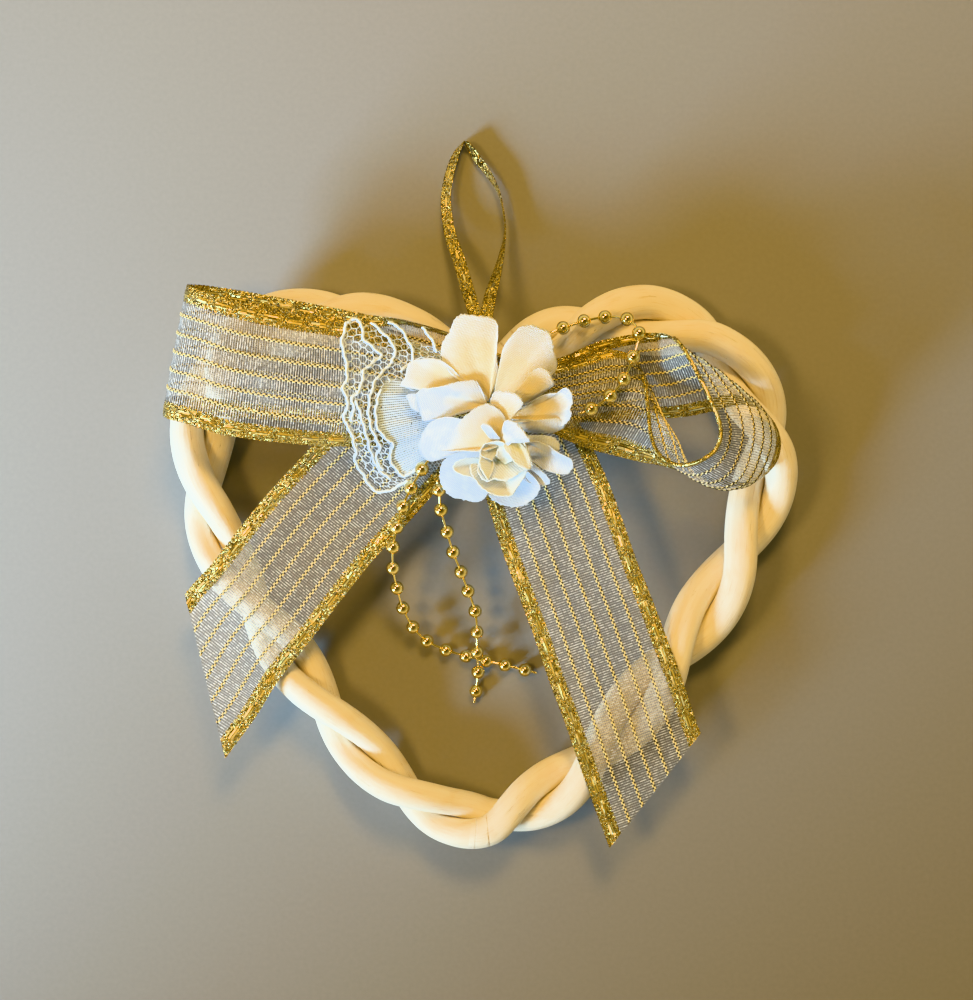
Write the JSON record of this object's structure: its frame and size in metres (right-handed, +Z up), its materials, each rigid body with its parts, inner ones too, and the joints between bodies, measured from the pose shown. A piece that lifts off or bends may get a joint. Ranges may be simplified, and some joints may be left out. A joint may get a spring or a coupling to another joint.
{
  "type": "twisted cane heart ornament",
  "caption": "Small heart of two twisted painted canes, dressed with a sheer gold-edged ribbon bow, lace, fabric blossoms, bead strings and a tape loop to hang it by.",
  "frame": {"origin": "on the surface it lies on, under the middle of the ornament's box without its cords", "axes": "+Z up, out of the dressed side; +Y from the heart's tip to its cleft; +X to the right of the dressed side"},
  "size_m": [0.1495, 0.1705, 0.0435],
  "materials": {
    "painted_cane": "matt cream-white paint over round cane, fine grain and hairline cracks",
    "sheer_gold_ribbon": "sheer grey-white organza, thin gold stripes, glittering gold borders",
    "white_lace": "white net lace with thick outline threads",
    "cream_petal_fabric": "stiffened matt satin, cream to white",
    "gold_beads": "bright metallised gold on small round beads and their thread",
    "gold_tape": "narrow woven gold lurex tape"
  },
  "bodies": {
    "root": {"cane_one": "painted_cane", "cane_two": "painted_cane", "ribbon_tails": "sheer_gold_ribbon", "ribbon_loops": "sheer_gold_ribbon", "lace_frill": "white_lace", "blossom_back": "cream_petal_fabric", "blossom_front": "cream_petal_fabric", "bead_strand_left": "gold_beads", "bead_strand_middle": "gold_beads", "bead_loop": "gold_beads", "hanging_loop": "gold_tape"}
  },
  "joints": []
}
